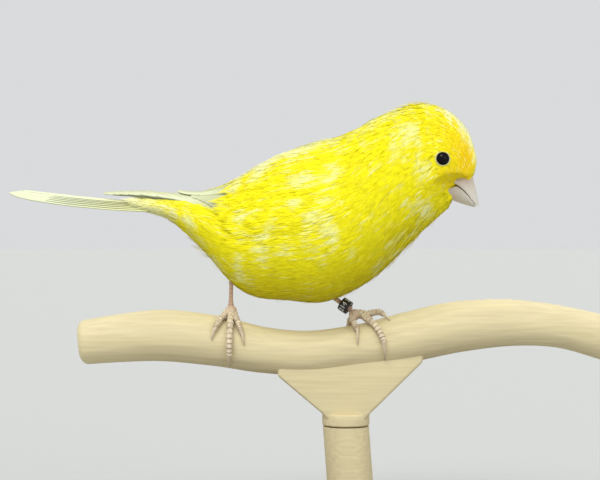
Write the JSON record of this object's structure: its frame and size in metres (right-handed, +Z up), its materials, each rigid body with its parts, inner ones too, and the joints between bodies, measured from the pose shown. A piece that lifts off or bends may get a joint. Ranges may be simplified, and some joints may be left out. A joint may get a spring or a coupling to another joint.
{
  "type": "canary",
  "caption": "Still, life-size canary in side pose, gripping a cut length of perch that a plain display stand holds.",
  "frame": {"origin": "middle of the stand base's underside, on the surface that it stands on", "axes": "+X along the perch towards the bill, -Y the side that shows in the picture (the bird's right side), +Z up"},
  "size_m": [0.1719, 0.072, 0.1208],
  "materials": {
    "plumage": "soft matt feathers, saturated yellow with whitish frosting",
    "pale_plumage": "smooth satin flight feathers, yellowish white",
    "eye": "glossy near-black",
    "horn": "satin pale pinkish horn",
    "leg_skin": "dry, scaly, pinkish cream",
    "band": "black anodised, with plain white numbers",
    "perch_wood": "pale beige wood, fine lengthwise streaks, roughened along the top",
    "stand_wood": "dark satin hardwood"
  },
  "bodies": {
    "root": {"torso": "plumage", "neck": "plumage", "head": "plumage", "wing_right": "pale_plumage", "wing_left": "pale_plumage", "tail": "pale_plumage", "eye_right": "eye", "eye_left": "eye", "bill_upper": "horn", "bill_lower": "horn", "leg_right": "leg_skin", "leg_left": "leg_skin", "foot_right": "leg_skin", "foot_left": "leg_skin", "leg_ring": "band", "perch_bar": "perch_wood", "perch_web": "perch_wood", "stand_rod": "perch_wood", "stand_base": "stand_wood"}
  },
  "joints": []
}
